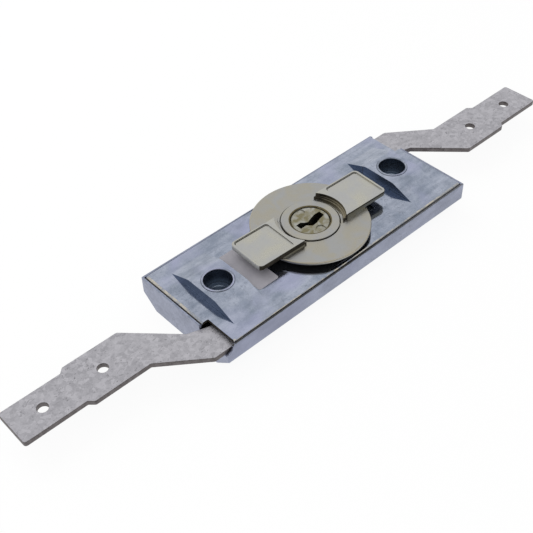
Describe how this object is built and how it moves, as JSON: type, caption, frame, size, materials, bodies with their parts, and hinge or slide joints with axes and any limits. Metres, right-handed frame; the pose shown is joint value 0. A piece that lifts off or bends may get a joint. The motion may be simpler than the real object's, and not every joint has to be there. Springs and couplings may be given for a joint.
{
  "type": "roller shutter lock",
  "caption": "Centre lock for a roller shutter: a winged disc on a key cylinder turns to throw cranked arms out of both ends of a shallow raised-bridge case.",
  "frame": {"origin": "on the flat back of the case, under the axis of the turning disc", "axes": "+X along the case to the arm at the right, +Y across the case, +Z out of the cover along the disc's axis"},
  "size_m": [0.2752, 0.05, 0.02],
  "materials": {
    "zinc_cover": "semi-gloss bluish zinc plate, mottled",
    "zinc_tray": "satin bluish zinc plate",
    "zinc_bush": "bright zinc plate",
    "inner_steel": "satin steel",
    "black_plate": "black",
    "sticker": "matt beige-grey, bare",
    "satin_nickel": "satin nickel plate",
    "plug_nickel": "warm nickel plate",
    "brass_parts": "satin",
    "galvanised": "galvanised, matt, spangled"
  },
  "bodies": {
    "case": {"cover_plate": "zinc_cover", "case_back": "zinc_tray", "slide_plate": "inner_steel", "dust_shield": "black_plate", "fixing_bush_left": "zinc_bush", "fixing_bush_right": "zinc_bush", "guide_studs": "inner_steel", "sticker": "sticker", "friction_washer": "brass_parts", "cylinder_body": "satin_nickel", "cylinder_screws": "inner_steel"},
    "disc": {"turn_disc": "satin_nickel", "drive_pin_left": "inner_steel", "drive_pin_right": "inner_steel"},
    "plug": {"key_plug": "plug_nickel", "wafers": "brass_parts", "plug_clip": "inner_steel"},
    "pin": {"locking_pin": "inner_steel"},
    "arm_left": {"left_arm": "galvanised"},
    "arm_right": {"right_arm": "galvanised"}
  },
  "joints": [
    {"name": "disc_turn", "type": "hinge", "parent": "case", "child": "disc", "pos_m": [0, 0, 0.0163], "axis": [0, 0, 1], "range_deg": [-90, 0]},
    {"name": "plug_turn", "type": "hinge", "parent": "case", "child": "plug", "pos_m": [0, 0, 0.0174], "axis": [0, 0, 1], "range_deg": [0, 90]},
    {"name": "left_throw", "type": "slide", "parent": "case", "child": "arm_left", "axis": [-1, 0, 0], "range_m": [0, 0.0255]},
    {"name": "right_throw", "type": "slide", "parent": "case", "child": "arm_right", "axis": [1, 0, 0], "range_m": [0, 0.0255]},
    {"name": "pin_push", "type": "slide", "parent": "case", "child": "pin", "axis": [0, 1, 0], "range_m": [0, 0.0014]}
  ],
  "couplings": [
    {"joint": "left_throw", "follows": "disc_turn", "m_per_rad": -0.016188},
    {"joint": "right_throw", "follows": "disc_turn", "m_per_rad": -0.016188},
    {"joint": "pin_push", "follows": "plug_turn", "m_per_rad": 0.00089127}
  ]
}
